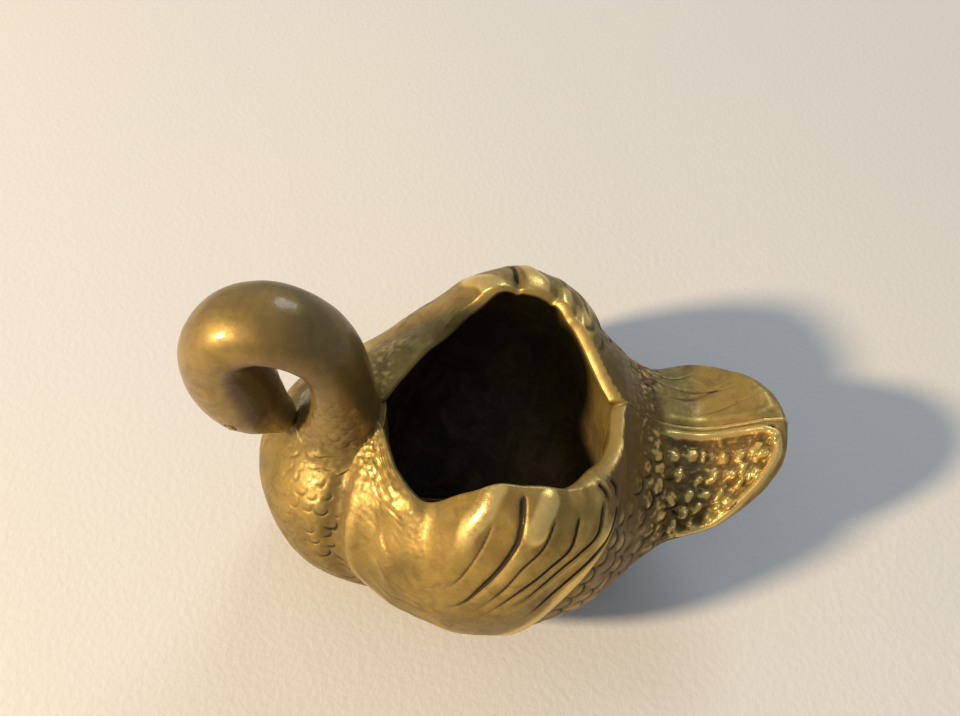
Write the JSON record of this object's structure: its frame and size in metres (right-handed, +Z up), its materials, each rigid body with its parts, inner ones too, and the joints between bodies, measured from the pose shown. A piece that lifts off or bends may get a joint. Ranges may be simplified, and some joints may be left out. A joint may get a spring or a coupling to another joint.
{
  "type": "swan dish",
  "caption": "Cast brass swan with an open back that serves as a small dish, wings as the bowl's sides, arched neck tucked to the breast and a pointed tail.",
  "frame": {"origin": "middle of the overall box in plan, on the plane of the flat foot", "axes": "+X runs from the breast to the tail, so the swan faces -X; +Y is the swan's right; +Z is up"},
  "size_m": [0.0858, 0.0568, 0.0584],
  "materials": {
    "body_brass": "aged cast brass, relief dark in the grooves and worn bright on the high places",
    "neck_brass": "smooth brass with a brown patina",
    "braze": "rough brazing filler"
  },
  "bodies": {
    "root": {"left_body_half": "body_brass", "right_body_half": "body_brass", "neck_and_head": "neck_brass", "centre_seam_braze": "braze", "neck_root_braze": "braze"}
  },
  "joints": []
}
